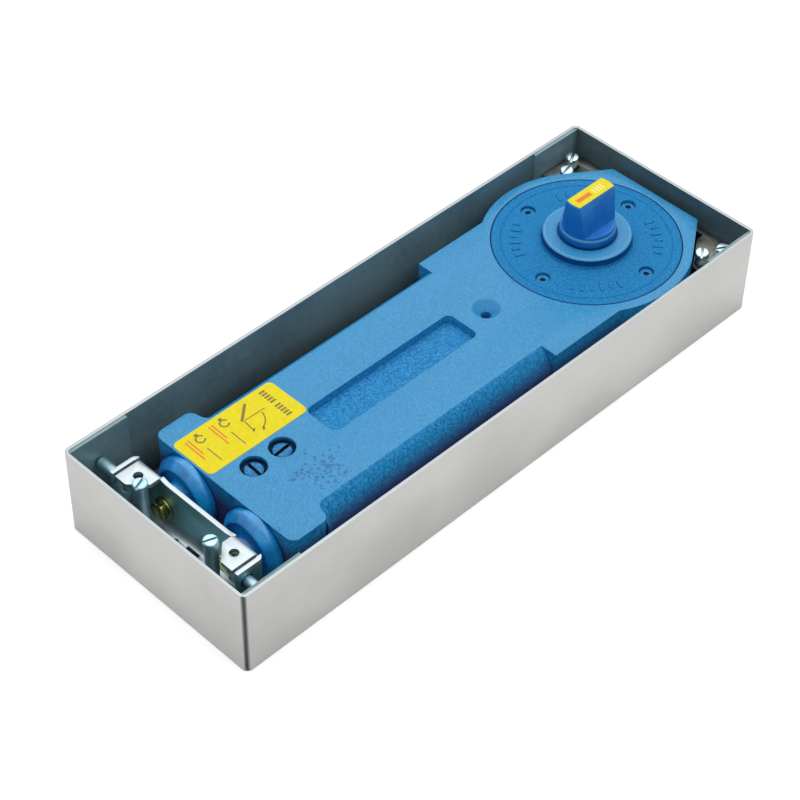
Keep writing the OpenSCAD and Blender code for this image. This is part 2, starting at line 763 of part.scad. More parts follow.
module cam_roller() {
    color("gainsboro") translate([roller_x, 0, cam_z0]) rotate_extrude() polygon([
        [pin_r + spindle_fit, 0], [roller_r - 0.4, 0], [roller_r, 0.4],
        [roller_r, cam_h - 0.4], [roller_r - 0.4, cam_h], [pin_r + spindle_fit, cam_h]]);
}

module push_rod(side) {
    color("silver") along_x(rod_x0, rod_x1, rod_r, side * cyl_y, cyl_z);
}

// Ring groove and non-return passage of a piston
groove_x = piston_x0 + 6;
groove_w = 2.5;
groove_r = bore_r - 2;
check_up = 7.2;
ball_r = 2;
spigot_end_r = 7;

module piston(side) {
    r = bore_r - piston_fit;
    color("darkgray") difference() {
        turned_x([[0, piston_x0 - 3], [spigot_end_r, piston_x0 - 3],
            [spigot_end_r, piston_x0], [r - 0.5, piston_x0],
            [r, piston_x0 + 0.5], [r, groove_x], [groove_r, groove_x],
            [groove_r, groove_x + groove_w], [r, groove_x + groove_w],
            [r, piston_x1 - 0.5], [r - 0.5, piston_x1], [0, piston_x1]], side * cyl_y, cyl_z);
        along_x(rod_x0 - 0.05, piston_x1 + 1, rod_r + 0.03, side * cyl_y, cyl_z);
        along_x(piston_x1 - 8, piston_x1 + 1, ball_r + 0.2, side * cyl_y, cyl_z + check_up);
        along_x(piston_x0 - 1, piston_x1, 0.9, side * cyl_y, cyl_z + check_up);
    }
}

module piston_ring(side) {
    color("ivory") translate([groove_x + 0.1, side * cyl_y, cyl_z]) rotate([0, 90, 0])
        difference() {
            cylinder(h = groove_w - 0.2, r = bore_r - 0.02);
            translate([0, 0, -eps]) cylinder(h = groove_w + eps, r = groove_r + 0.05);
        }
}

module check_balls() {
    color("silver") for (side = [-1, 1])
        translate([piston_x1 - 8 + ball_r, side * cyl_y, cyl_z + check_up])
            sphere(ball_r, $fn = 32);
}

module ball_retainers() {
    color("dimgray") for (side = [-1, 1])
        translate([piston_x1 - 1.5, side * cyl_y, cyl_z + check_up]) rotate([0, 90, 0])
            difference() {
                cylinder(h = 1, r = ball_r + 0.18);
                translate([0, 0, -eps]) cylinder(h = 2, r = ball_r - 0.9);
            }
}

spring_x0 = lug_x + plug_thread_l;
spring_l = piston_x0 - spring_x0;

// Progress of the coil along its length, with a closed turn at each end
function coil_rise(n) =
    n < 1 ? n * wire_d : n > coil_turns + 1
    ? spring_l - 2 * wire_d + (n - coil_turns - 1) * wire_d
    : wire_d + (n - 1) * (spring_l - 3 * wire_d) / coil_turns;

module closing_spring(side) {
    per_turn = 12;
    sides = 6;
    last = (coil_turns + 2) * per_turn - 1;
    points = [for (i = [0:last], k = [0:sides - 1])
        let (n = i / last * (coil_turns + 2), a = 360 * n, b = 360 * k / sides,
            r = coil_r + wire_d / 2 * cos(b))
        [spring_x0 + wire_d / 2 + coil_rise(n) + wire_d / 2 * sin(b), r * cos(a), r * sin(a)]];
    sides_faces = [for (i = [0:last - 1], k = [0:sides - 1])
        let (k2 = (k + 1) % sides)
        [i * sides + k, i * sides + k2, (i + 1) * sides + k2, (i + 1) * sides + k]];
    ends = [[for (k = [sides - 1:-1:0]) k], [for (k = [0:sides - 1]) last * sides + k]];
    color("dimgray") translate([0, side * cyl_y, cyl_z])
        polyhedron(points, concat(sides_faces, ends));
}

plug_boss_r = 7;
plug_bolt_r = 2.5;

module end_plug(side) {
    flange = 3;
    face_x = lug_x - plug_out;
    bevel = 3;
    color("royalblue") difference() {
        turned_x([
            [0, wall_x], [plug_boss_r, wall_x], [plug_boss_r, face_x + 2.5],
            [plug_r - bevel - 1.5, face_x + 2.5], [plug_r - bevel - 1, face_x],
            [plug_r - bevel, face_x], [plug_r, lug_x - flange], [plug_r, lug_x],
            [plug_thread_r, lug_x], [plug_thread_r, lug_x + 2],
            [plug_thread_r - 1.6, lug_x + 2], [plug_thread_r - 1.6, lug_x + 4],
            [plug_thread_r, lug_x + 4], [plug_thread_r, spring_x0],
            [spigot_end_r, spring_x0], [spigot_end_r, spring_x0 + 4], [0, spring_x0 + 4]],
            side * cyl_y, cyl_z);
        along_x(wall_x - 1, lug_x + 6, plug_bolt_r + thread_fit, side * cyl_y, cyl_z);
    }
}

module plug_seals() {
    section = 0.78;
    color("black") for (side = [-1, 1])
        translate([lug_x + 3, side * cyl_y, cyl_z]) rotate([0, 90, 0])
            ring_z(plug_thread_r - section + 0.02, section, 0);
}

// ---- Regulating valves ----

module valve(x, turn) {
    top = body_z1 - valve_down;
    low = body_z0 + 19.1;
    slot_w = 1.6;
    color("darkslateblue") translate([x, 0, 0]) difference() {
        rotate_extrude() polygon([
            [0, body_z0 + 9.5], [1, body_z0 + 9.5], [2.2, body_z0 + 13],
            [2.5, low], [valve_r, low], [valve_r, low + 4],
            [valve_r - 1.4, low + 4], [valve_r - 1.4, low + 6],
            [valve_r, low + 6], [valve_r, top - 0.8], [valve_r - 0.8, top], [0, top]]);
        rotate(turn) translate([-valve_r - 1, -slot_w / 2, top - 1.6])
            cube([2 * valve_r + 2, slot_w, 3]);
    }
}

module closing_valve() { valve(valve_x[1], 4); }
module latching_valve() { valve(valve_x[0], 86); }

module valve_seal(x) {
    color("black") translate([x, 0, 0]) ring_z(valve_r - 0.7, 0.68, body_z0 + 24.1);
}

// ---- Regulating-end bracket ----

// Section of a sheet bent through a right angle: legs run to -X and to -Y from the outer corner
module bent_sheet(leg_x, leg_y, t, r_out) {
    difference() {
        union() {
            translate([-leg_x, -t]) square([leg_x - r_out, t]);
            translate([-t, -leg_y]) square([t, leg_y - r_out]);
            translate([-r_out, -r_out]) circle(r_out, $fn = 32);
        }
        translate([-r_out, -r_out]) circle(r_out - t, $fn = 32);
        translate([-2 * r_out - eps, -2 * r_out - eps]) square([2 * r_out, r_out + eps]);
        translate([-2 * r_out - eps, -2 * r_out - eps]) square([r_out + eps, 2 * r_out - t + eps]);
    }
    translate([-t, -leg_y]) square([t, leg_y - r_out]);
    translate([-leg_x, -t]) square([leg_x - r_out, t]);
}

bend_r = 3;
foot_z = cyl_z - washer_r - foot_bend_r - foot_gap;
mid_top_z = tab_z - 1.5;
cheek_z0 = foot_z + 4.5;
side_z = body_z1 - 6.8;
tab_out = cheek_half_w - brk_t - 1.4;

// A tab: a horizontal leg bent off the top of the wall
module bracket_tab() {
    difference() {
        translate([wall_x, tab_out, tab_z]) rotate([90, 0, 0])
            linear_extrude(tab_out - tab_in)
                bent_sheet(brk_l, tab_z - foot_z - foot_bend_r, brk_t, bend_r);
        translate([0, 0, tab_z - 10]) linear_extrude(20) polygon([
            [wall_x - brk_l / 2, tab_in - 1], [wall_x - brk_l / 2, tab_in],
            [wall_x - brk_l - 1, tab_in + brk_l / 2 + 1], [wall_x - brk_l - 1, tab_in - 1]]);
        translate([wall_x - tab_hole_in, tab_hole_y, tab_z - 10])
            cylinder(h = 20, r = tab_hole_r);
    }
}

// A cheek: a vertical leg bent off the end of the wall
module bracket_cheek() {
    difference() {
        translate([wall_x, cheek_half_w, cheek_z0]) linear_extrude(tab_z - cheek_z0)
            bent_sheet(brk_l, cheek_half_w - tab_out + 2, brk_t, bend_r);
        along_y(cheek_half_w - 5, cheek_half_w + 1, side_screw_r + 0.5,
            wall_x - side_screw_in, side_z);
        block([wall_x - brk_t - eps, tab_out, tab_z - 6], [wall_x + eps, tab_out + 1.2, tab_z + 1]);
        block([wall_x - brk_t - eps, 0, tab_z - 6], [wall_x + eps, tab_out, tab_z + 1]);
    }
}

side_screw_in = 9.5;

// Outline (y, z) of the bracket wall, with a top edge that rises to the tabs
module wall_outline() {
    low = foot_z + foot_bend_r;
    rise_w = 4;
    for (side = [-1, 1]) polygon([
        [0, low], [side * tab_out, low], [side * tab_out, mid_top_z - 2],
        [side * (tab_in + 0.4), mid_top_z - 2], [side * (tab_in + 0.4), mid_top_z + 0.8],
        [side * (tab_in - 0.6), mid_top_z + 0.8], [side * (tab_in - rise_w / 2), mid_top_z + 0.3],
        [side * (tab_in - rise_w), mid_top_z], [0, mid_top_z]]);
}

// Slit around the tongue in the middle of the foot, and a small hole on each side
module foot_cuts() {
    tongue_half_w = 1.7;
    slit_half_w = 3.6;
    tongue_l = 5.5;
    x1 = wall_x - foot_bend_r + 1.2;
    translate([0, 0, foot_z - 1]) linear_extrude(brk_t + 2) {
        difference() {
            translate([x1 - tongue_l, -slit_half_w]) square([tongue_l, 2 * slit_half_w]);
            translate([x1 - tongue_l - 1, -tongue_half_w])
                square([tongue_l - 0.8, 2 * tongue_half_w]);
        }
        for (side = [-1, 1]) translate([x1 - 2, side * 9.5]) circle(1.3);
    }
}

module adjusting_bracket() {
    color("whitesmoke") difference() {
        union() {
            translate([wall_x, 0, 0]) rotate([90, 0, -90]) linear_extrude(brk_t)
                mirror([1, 0, 0]) wall_outline();
            translate([wall_x, -tab_out + 1, foot_z]) rotate([-90, 0, 0])
                linear_extrude(2 * tab_out - 2)
                    bent_sheet(foot_l, foot_bend_r + 1, brk_t, foot_bend_r);
            for (side = [0, 1]) mirror([0, side, 0]) {
                bracket_tab();
                bracket_cheek();
            }
        }
        for (side = [-1, 1]) {
            along_x(wall_x - 5, wall_x + 5, plug_bolt_r + 0.3, side * cyl_y, cyl_z);
            translate([wall_x - lev_in, side * lev_y, foot_z - 1])
                cylinder(h = brk_t + 2, r = lev_r + 0.4);
        }
        foot_cuts();
    }
}

module bracket_bolts() {
    head_x1 = wall_x - brk_t - washer_t;
    color("goldenrod") for (side = [-1, 1]) translate([0, side * cyl_y, cyl_z]) {
        along_x(head_x1 - 1, lug_x + 4, plug_bolt_r);
        translate([head_x1 - bolt_head_t, 0, 0]) rotate([0, 90, 0]) rotate(30)
            cylinder(h = bolt_head_t, r = bolt_af / 2 / cos(30), $fn = 6);
    }
}

module bracket_washers() {
    color("gold") for (side = [-1, 1]) difference() {
        along_x(wall_x - brk_t - washer_t, wall_x - brk_t, washer_r, side * cyl_y, cyl_z);
        along_x(wall_x - brk_t - 5, wall_x, plug_bolt_r + 0.2, side * cyl_y, cyl_z);
    }
}

module bracket_nuts() {
    color("silver") for (side = [-1, 1])
        translate([wall_x - lev_in, side * lev_y, foot_z - nut_h])
            hex_nut(nut_h, nut_af, lev_r + thread_fit);
}

module side_nuts() {
    color("silver") for (side = [0, 1]) mirror([0, side, 0])
        translate([wall_x - side_screw_in, cheek_half_w - brk_t, side_z]) rotate([90, 0, 0])
            hex_nut(side_nut_h, side_nut_af, side_screw_r + thread_fit);
}

module levelling_screw(x, y, top, turn) {
    color("lightsteelblue") translate([x, y, 0]) slotted_screw(sheet, top, turn);
}

module side_screw(side) {
    reach = box_w / 2 - 2 * sheet - 0.3;
    r = side_screw_r;
    slot = 1;
    color("lightsteelblue") difference() {
        union() {
            translate([wall_x - side_screw_in, side * (cheek_half_w - 9), side_z])
                rotate([-90 * side, 0, 0]) cylinder(h = reach - cheek_half_w + 9 - 1, r = r);
            translate([wall_x - side_screw_in, side * (reach - 1), side_z])
                rotate([-90 * side, 0, 0]) cylinder(h = 1, r1 = r, r2 = r - 1);
        }
        translate([wall_x - side_screw_in, side * (cheek_half_w - 9), side_z])
            cube([slot, 3, 3 * r], center = true);
    }
}

// ---- Spindle-end bracket ----

end_screw_y = 14;
end_screw_z = body_z0 + 13;
wing_half_w = box_w / 2 - 2 * sheet - 0.8;
wing_x0 = spindle_x + wing_reach;

module head_bracket() {
    drawn_r = 3.7;
    plate_z0 = body_z0 + 7;
    x1 = head_x + wing_t;
    lev = [spindle_x + wing_lev_x, wing_lev_y];
    color("lightgray") difference() {
        union() {
            block([head_x, -wing_half_w, plate_z0], [x1, wing_half_w, wing_z]);
            translate([0, 0, wing_z - wing_t]) linear_extrude(wing_t) difference() {
                translate([wing_x0, -wing_half_w]) square([x1 - wing_x0, 2 * wing_half_w]);
                difference() {
                    head_plan(0.6);
                    translate([head_x, -box_w / 2]) square([2 * wing_t, box_w]);
                }
                translate([wing_x0 - 1, -head_end_half_w - 4])
                    square([head_x - wing_x0 + 1, 2 * head_end_half_w + 8]);
            }
            for (side = [-1, 1]) translate([lev.x, side * lev.y, wing_z - 6])
                cylinder(h = 5, r = drawn_r);
        }
        for (side = [-1, 1]) {
            translate([lev.x, side * lev.y, wing_z - 8])
                cylinder(h = 10, r = lev_r + thread_fit);
            translate([spindle_x + hold_x, side * hold_y, wing_z - 5])
                cylinder(h = 10, r = lev_r + 0.4);
            along_x(head_x - 1, head_x + 5, end_screw_r + 0.3, side * end_screw_y, end_screw_z);
        }
        for (side = [0, 1]) mirror([0, side, 0])
            block([head_x - 1, head_end_half_w + 1.5, plate_z0 - 1],
                [x1 + 1, wing_half_w + 1, wing_z - 12]);
    }
}

module head_bracket_screws() {
    color("silver") for (side = [-1, 1]) translate([0, side * end_screw_y, end_screw_z]) {
        along_x(head_x - 9, head_x + wing_t, end_screw_r);
        difference() {
            along_x(head_x + wing_t, head_x + wing_t + end_screw_head_t, end_screw_head_r);
            translate([head_x + wing_t + end_screw_head_t, 0, 0])
                cube([1.2, 1.2, 3 * end_screw_head_r], center = true);
        }
    }
}

module rating_label() {
    x0 = lug_x + label_in;
    color("yellow") translate([0, 0, body_z1]) linear_extrude(label_t)
        round_rect(x0, x0 + label_l, label_y, label_y + label_w, 2.5);
}

// ---- Drawing ----

cement_box();
box_weld_nuts();
hold_down_screws();
housing();
cover();
cover_screws();
cover_seal();
spindle_seal();
upper_bearing();
lower_bearing();
thrust_disc();
spindle();
heart_cam();
cam_key();
cam_circlip();
spindle_label();
crosshead();
upper_slide_plate();
lower_slide_plate();
plate_rivets();
roller_pin();
cam_roller();
push_rod(1);  // push_rod_1
push_rod(-1);  // push_rod_2
piston(1);  // piston_1
piston(-1);  // piston_2
piston_ring(1);  // piston_ring_1
piston_ring(-1);  // piston_ring_2
check_balls();
ball_retainers();
closing_spring(1);  // closing_spring_1
closing_spring(-1);  // closing_spring_2
end_plug(1);  // end_plug_1
end_plug(-1);  // end_plug_2
plug_seals();
closing_valve();
latching_valve();
valve_seal(valve_x[1]);  // closing_valve_seal
valve_seal(valve_x[0]);  // latching_valve_seal
adjusting_bracket();
bracket_bolts();
bracket_washers();
bracket_nuts();
side_nuts();
levelling_screw(wall_x - lev_in, lev_y, body_z1 + lev_up, 20);  // levelling_screw_1
levelling_screw(wall_x - lev_in, -lev_y, body_z1 + lev_up, -20);  // levelling_screw_2
levelling_screw(spindle_x + wing_lev_x, wing_lev_y, body_z1 - wing_lev_down, 15);  // levelling_screw_3
levelling_screw(spindle_x + wing_lev_x, -wing_lev_y, body_z1 - wing_lev_down, 35);  // levelling_screw_4
side_screw(1);  // side_screw_1
side_screw(-1);  // side_screw_2
head_bracket();
head_bracket_screws();
rating_label();
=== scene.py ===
"""Looks of the floor spring door closer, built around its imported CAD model."""
import json
import math

import bmesh
import bpy
from mathutils import Matrix, Vector


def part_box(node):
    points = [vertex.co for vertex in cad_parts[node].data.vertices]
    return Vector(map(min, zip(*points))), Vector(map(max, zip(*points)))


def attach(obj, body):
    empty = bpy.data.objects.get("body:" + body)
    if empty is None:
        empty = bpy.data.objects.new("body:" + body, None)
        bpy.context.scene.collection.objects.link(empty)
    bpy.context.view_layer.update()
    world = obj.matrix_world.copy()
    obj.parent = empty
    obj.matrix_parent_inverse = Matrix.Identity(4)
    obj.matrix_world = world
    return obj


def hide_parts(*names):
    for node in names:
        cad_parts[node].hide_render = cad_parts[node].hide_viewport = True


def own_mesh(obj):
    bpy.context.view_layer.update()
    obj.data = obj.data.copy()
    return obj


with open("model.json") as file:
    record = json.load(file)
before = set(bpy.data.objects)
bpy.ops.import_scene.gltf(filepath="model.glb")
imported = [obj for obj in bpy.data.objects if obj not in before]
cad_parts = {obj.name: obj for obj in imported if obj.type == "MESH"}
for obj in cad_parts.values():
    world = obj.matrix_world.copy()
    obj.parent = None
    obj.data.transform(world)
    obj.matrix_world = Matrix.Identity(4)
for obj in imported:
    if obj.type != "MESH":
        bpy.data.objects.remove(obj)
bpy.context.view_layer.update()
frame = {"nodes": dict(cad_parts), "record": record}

NODES = frame["nodes"]
BODIES = frame["record"]["behaviour"]["bodies"]
BODY_OF = {n: b for b, names in BODIES.items() for n in names}
SLOT_OF = {s["node"]: s["material_slot"] for s in frame["record"]["subparts"]}
MM = 0.001


# ---------------------------------------------------------------- places, in millimetres

def millimetres(node):
    """Lowest and highest corner of a CAD node."""
    low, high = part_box(node)
    return Vector(low) / MM, Vector(high) / MM


def middle(node):
    """Centre of a CAD node in plan."""
    low, high = millimetres(node)
    return (low.x + high.x) / 2, (low.y + high.y) / 2


def half_length(node):
    low, high = millimetres(node)
    return (high.x - low.x) / 2


VALVES = [middle("closing_valve"), middle("latching_valve")]
SPINDLE = middle("spindle")
SPINDLE_AXIS = Vector(SPINDLE)
BODY_TOP = millimetres("housing")[1].z
COVER_TOP = millimetres("cover")[1].z
BRACKET_TOP = millimetres("adjusting_bracket")[1].z
COVER_R = half_length("cover")
COLLAR_R = half_length("spindle")
COUNTERBORE_R = 5.9
COUNTERSINK_X = SPINDLE[0] - 64.8
COUNTERSINK_R = 7.0

# The hub of the cover and the collar of the spindle stand higher than in the CAD model.
HUB_R = 20.0
HUB_FOOT = BODY_TOP + 0.94
HUB_LIFT = 2.7
HUB_TOP = COVER_TOP + HUB_LIFT
LIP_REACH = 2.0
COLLAR_FOOT = COVER_TOP - 0.6
COLLAR_LIFT = 3.4
COLLAR_TRIM = 0.5
COLLAR_TOP = HUB_TOP + 4.4
COLLAR_EDGE_R = 11.0
FLAT_START = 4.7


# ---------------------------------------------------------------- materials

EDGE_SAMPLES = 6


def linear(srgb):
    """Linear colour of an 8-bit display colour."""
    out = []
    for c in srgb:
        c = c / 255
        out.append(c / 12.92 if c <= 0.04045 else ((c + 0.055) / 1.055) ** 2.4)
    return (*out, 1.0)


def grey(tone):
    """Grey of a linear tone."""
    return (tone, tone, tone, 1.0)


class Nodes:
    """A new material and short calls that add nodes to it."""

    def __init__(self, name):
        self.mat = bpy.data.materials.new(name)
        self.mat.use_nodes = True
        self.tree = self.mat.node_tree
        self.shader = self.tree.nodes["Principled BSDF"]
        self.coords = self.add("TexCoord").outputs["Object"]

    def add(self, kind):
        return self.tree.nodes.new("ShaderNode" + kind)

    def put(self, socket, value):
        """Link a socket to another one, or set it to a number or colour."""
        if hasattr(value, "links"):
            self.tree.links.new(value, socket)
        else:
            socket.default_value = value

    def set(self, **sockets):
        """Fill sockets of the shader and give the material."""
        for key, value in sockets.items():
            self.put(self.shader.inputs[key.replace("_", " ")], value)
        return self.mat

    # coordinates and masks

    def scaled(self, scale):
        """Object coordinates in millimetres times one scale, or one for each axis."""
        m = self.add("Mapping")
        self.put(m.inputs["Vector"], self.coords)
        s = (scale,) * 3 if isinstance(scale, (int, float)) else scale
        m.inputs["Scale"].default_value = [v / MM for v in s]
        return m.outputs["Vector"]

    def xyz(self):
        n = self.add("SeparateXYZ")
        self.put(n.inputs["Vector"], self.scaled(1.0))
        return n.outputs["X"], n.outputs["Y"], n.outputs["Z"]

    def within(self, centre, radius_mm, soft_mm=0.0):
        """1 inside a vertical cylinder, fading to 0 over a soft edge."""
        x, y, _ = self.xyz()
        away = [self.math("POWER", self.math("SUBTRACT", v, c), 2.0)
                for v, c in zip((x, y), centre)]
        r = self.math("SQRT", self.math("ADD", *away))
        return self.value_range(r, radius_mm - soft_mm, radius_mm + 0.01, 1.0, 0.0)

    def ring(self, centre, inner_mm, low_mm, high_mm):
        """1 outside a radius and between two levels."""
        _, _, z = self.xyz()
        level = self.times(self.math("GREATER_THAN", z, low_mm),
                           self.math("LESS_THAN", z, high_mm))
        return self.times(level, self.inverse(self.within(centre, inner_mm, soft_mm=0.1)))

    def edge_wear_and_highlight(self, radius_mm):
        """0 on flat faces, near 1 on sharp outer edges: wear and painted highlight."""
        g = self.add("NewGeometry")
        d = self.add("VectorMath")
        d.operation = "DOT_PRODUCT"
        self.put(d.inputs[0], self.soften(radius_mm))
        self.put(d.inputs[1], g.outputs["Normal"])
        return self.value_range(d.outputs["Value"], 0.75, 0.995, 1.0, 0.0)

    def crevice_shade(self, reach_mm, low=0.15, high=0.75):
        """Mask of painted shade: 1 in grooves and corners narrower than reach, 0 in the open."""
        n = self.add("AmbientOcclusion")
        n.samples = EDGE_SAMPLES
        n.inputs["Distance"].default_value = reach_mm * MM
        return self.value_range(n.outputs["AO"], low, high, 1.0, 0.0)

    # textures

    def noise(self, scale, detail=3.0, rough=0.5, distortion=0.0):
        """Noise whose features are about 1/scale millimetres wide."""
        n = self.add("TexNoise")
        self.put(n.inputs["Vector"], self.scaled(scale))
        n.inputs["Scale"].default_value = 1.0
        n.inputs["Detail"].default_value = detail
        n.inputs["Roughness"].default_value = rough
        n.inputs["Distortion"].default_value = distortion
        return n.outputs["Fac"]

    def cells(self, scale):
        """Distance to the nearest of many scattered points."""
        n = self.add("TexVoronoi")
        self.put(n.inputs["Vector"], self.scaled(scale))
        n.inputs["Scale"].default_value = 1.0
        return n.outputs["Distance"]

    # values

    def math(self, op, a, b=0.0, c=None):
        n = self.add("Math")
        n.operation = op
        self.put(n.inputs[0], a)
        self.put(n.inputs[1], b)
        if c is not None:
            self.put(n.inputs[2], c)
        return n.outputs[0]

    def times(self, a, b):
        return self.math("MULTIPLY", a, b)

    def inverse(self, a):
        return self.math("SUBTRACT", 1.0, a)

    def weigh(self, a, share_a, b, share_b):
        """Sum of two values, each times its share."""
        return self.math("ADD", self.times(a, share_a), self.times(b, share_b))

    def value_range(self, fac, low, high, out_low, out_high):
        """Values from low to high spread over another range, and held at its ends."""
        n = self.add("MapRange")
        ends = {"Value": fac, "From Min": low, "From Max": high, "To Min": out_low,
                "To Max": out_high}
        for key, value in ends.items():
            self.put(n.inputs[key], value)
        return n.outputs["Result"]

    # colours

    def ramp(self, fac, *stops):
        """Linear colours along a value; a stop is (place, colour)."""
        n = self.add("ValToRGB")
        self.put(n.inputs["Fac"], fac)
        elements = n.color_ramp.elements
        while len(elements) < len(stops):
            elements.new(0.5)
        for item, (place, colour) in zip(elements, stops):
            item.position = place
            item.color = colour
        return n.outputs["Color"]

    def shades(self, fac, *stops):
        """8-bit display colours along a value; a stop is (place, colour)."""
        return self.ramp(fac, *[(place, linear(colour)) for place, colour in stops])

    def mix(self, fac, a, b):
        """From colour a to colour b; inputs 0, 6 and 7 are the factor and the colours."""
        n = self.add("Mix")
        n.data_type = "RGBA"
        self.put(n.inputs[0], fac)
        self.put(n.inputs[6], a)
        self.put(n.inputs[7], b)
        return n.outputs[2]

    def tint(self, colour, mask, strength, srgb):
        """A colour turned towards an 8-bit display colour where the mask is 1."""
        return self.mix(self.times(mask, strength), colour, linear(srgb))

    # normals

    def soften(self, radius_mm):
        """Normal with edges rounded by a radius."""
        n = self.add("Bevel")
        n.samples = EDGE_SAMPLES
        n.inputs["Radius"].default_value = radius_mm * MM
        return n.outputs["Normal"]

    def bump(self, height, distance_mm, strength=1.0, after=None):
        n = self.add("Bump")
        n.inputs["Distance"].default_value = distance_mm * MM
        n.inputs["Strength"].default_value = strength
        self.put(n.inputs["Height"], height)
        if after is not None:
            self.put(n.inputs["Normal"], after)
        return n.outputs["Normal"]


def enamel(name, light, mid, dark, bump_mm, grain_size, rough, gloss, shade=None, counterbore_shade=(),
           pits=(), hub=None):
    """Enamel on a casting, with its hammered or ground texture and painted shade in the corners.

    shade is (low z, high z, colour) of painted shade down the sides, grime lists the (centre,
    radius) of counterbores darkened towards the bottom with painted shade, pits the (centre,
    radius) of low spots left unground, and hub the (centre, radius, foot z, top z) of a boss
    with a painted highlight on its rim and painted shade down its side."""
    n = Nodes(name)
    dimple = n.noise(grain_size, rough=0.55)
    height = n.weigh(dimple, 0.62, n.noise(grain_size * 3, rough=0.6), 0.38)
    colour = n.shades(height, (0.40, dark), (0.50, mid), (0.61, light))
    wide = n.value_range(n.noise(0.035, detail=2), 0.35, 0.65, 0.0, 0.25)
    colour = n.mix(wide, colour, linear(mid))
    # Edges lightened towards the light tone, as wear and as painted highlight.
    colour = n.tint(colour, n.edge_wear_and_highlight(0.35), 0.35, light)
    if shade:
        # Painted shade: darker and more purple down the sides.
        low, high, shade_colour = shade
        colour = n.mix(n.value_range(n.xyz()[2], low, high, 0.95, 0.0), colour, linear(shade_colour))
    for centre, radius in pits:
        drift = n.math("MULTIPLY_ADD", n.within(centre, radius, soft_mm=radius * 0.7), 0.30,
                       n.noise(0.22, detail=2, distortion=0.8))
        spots = n.value_range(n.cells(0.55), 0.34, 0.48, 1.0, 0.0)
        patch = n.times(spots, n.value_range(drift, 0.68, 0.75, 0.0, 1.0))
        colour = n.tint(colour, patch, 0.85, (0, 96, 156))
        height = n.math("MULTIPLY_ADD", patch, -2.0, height)
    if hub:
        colour = hub_painted_light(n, colour, *hub)
    # Painted shade in the valve counterbores, strongest towards their bottom.
    for centre, radius in counterbore_shade:
        depth = n.value_range(n.xyz()[2], BODY_TOP - 2.2, BODY_TOP - 0.6, 0.9, 0.1)
        colour = n.tint(colour, n.within(centre, radius), depth, (10, 18, 40))
    # Painted shade in grooves and corners.
    colour = n.tint(colour, n.crevice_shade(2.2), 0.9, (8, 26, 54))
    return n.set(Base_Color=colour, Specular_IOR_Level=gloss,
                 Roughness=n.value_range(dimple, 0.35, 0.65, rough - 0.05, rough + 0.08),
                 Normal=n.bump(height, bump_mm, after=n.soften(0.5)))


def hub_painted_light(n, colour, centre, radius, foot, top):
    """Painted shade on the hub's side and in the cover's joint, a painted highlight on its rim.
    """
    rim_mm = 0.7
    # Painted shade down the side of the hub.
    side = n.times(n.ring(centre, radius - 0.8, foot + 0.2, top - rim_mm),
                   n.within(centre, radius + 0.4))
    colour = n.tint(colour, side, 0.8, (8, 54, 122))
    # Painted shade in the joint between the cover and the housing.
    joint = n.times(n.ring(centre, COVER_R - 0.55, foot - 3, foot + 1),
                    n.within(centre, COVER_R + 0.15))
    colour = n.tint(colour, joint, 0.8, (6, 46, 100))
    # Painted highlight along the rim of the hub.
    rim = n.ring(centre, radius - 1.1, top - rim_mm, top + 0.1)
    return n.tint(colour, rim, 0.6, (118, 192, 228))


def smooth_enamel(name, light, dark, rough=0.24, gloss=0.5, coat=0.3, edge=None):
    """Enamel on a turned or machined piece: glossy, with a slight orange peel.

    edge is the (centre, radius, low z, high z) of a painted highlight along a turned edge."""
    n = Nodes(name)
    peel = n.noise(0.9, detail=2)
    colour = n.shades(n.noise(0.12, rough=0.55), (0.35, dark), (0.65, light))
    # Edges lightened, as wear and as painted highlight.
    colour = n.tint(colour, n.edge_wear_and_highlight(0.25), 0.5, (70, 150, 205))
    # Painted highlight along the turned edge of the collar.
    if edge:
        colour = n.tint(colour, n.ring(*edge), 0.85, (104, 180, 226))
    # Painted shade in grooves and corners.
    colour = n.tint(colour, n.crevice_shade(2.0), 0.85, (6, 20, 44))
    return n.set(Base_Color=colour, Coat_Weight=coat, Coat_Roughness=0.12,
                 Specular_IOR_Level=gloss,
                 Roughness=n.value_range(peel, 0.3, 0.7, rough, rough + 0.1),
                 Normal=n.bump(peel, 0.03, strength=0.8, after=n.soften(0.3)))


def painted_head(name, node, depth_mm, recess=(10, 16, 26)):
    """Screw painted over with the casting: blue on top, dark in its slot and down its side."""
    n = Nodes(name)
    below = n.math("LESS_THAN", n.xyz()[2], millimetres(node)[1].z - depth_mm)
    worn = n.noise(0.8, rough=0.6)
    colour = n.shades(worn, (0.36, (22, 96, 156)), (0.60, (58, 146, 200)))
    # Edges lightened, as wear and as painted highlight.
    colour = n.tint(colour, n.edge_wear_and_highlight(0.2), 0.6, (104, 176, 214))
    colour = n.mix(below, colour, linear(recess))
    return n.set(Base_Color=colour, Specular_IOR_Level=0.2,
                 Roughness=n.value_range(worn, 0.3, 0.7, 0.40, 0.55),
                 Normal=n.bump(worn, 0.03, strength=0.8, after=n.soften(0.2)))


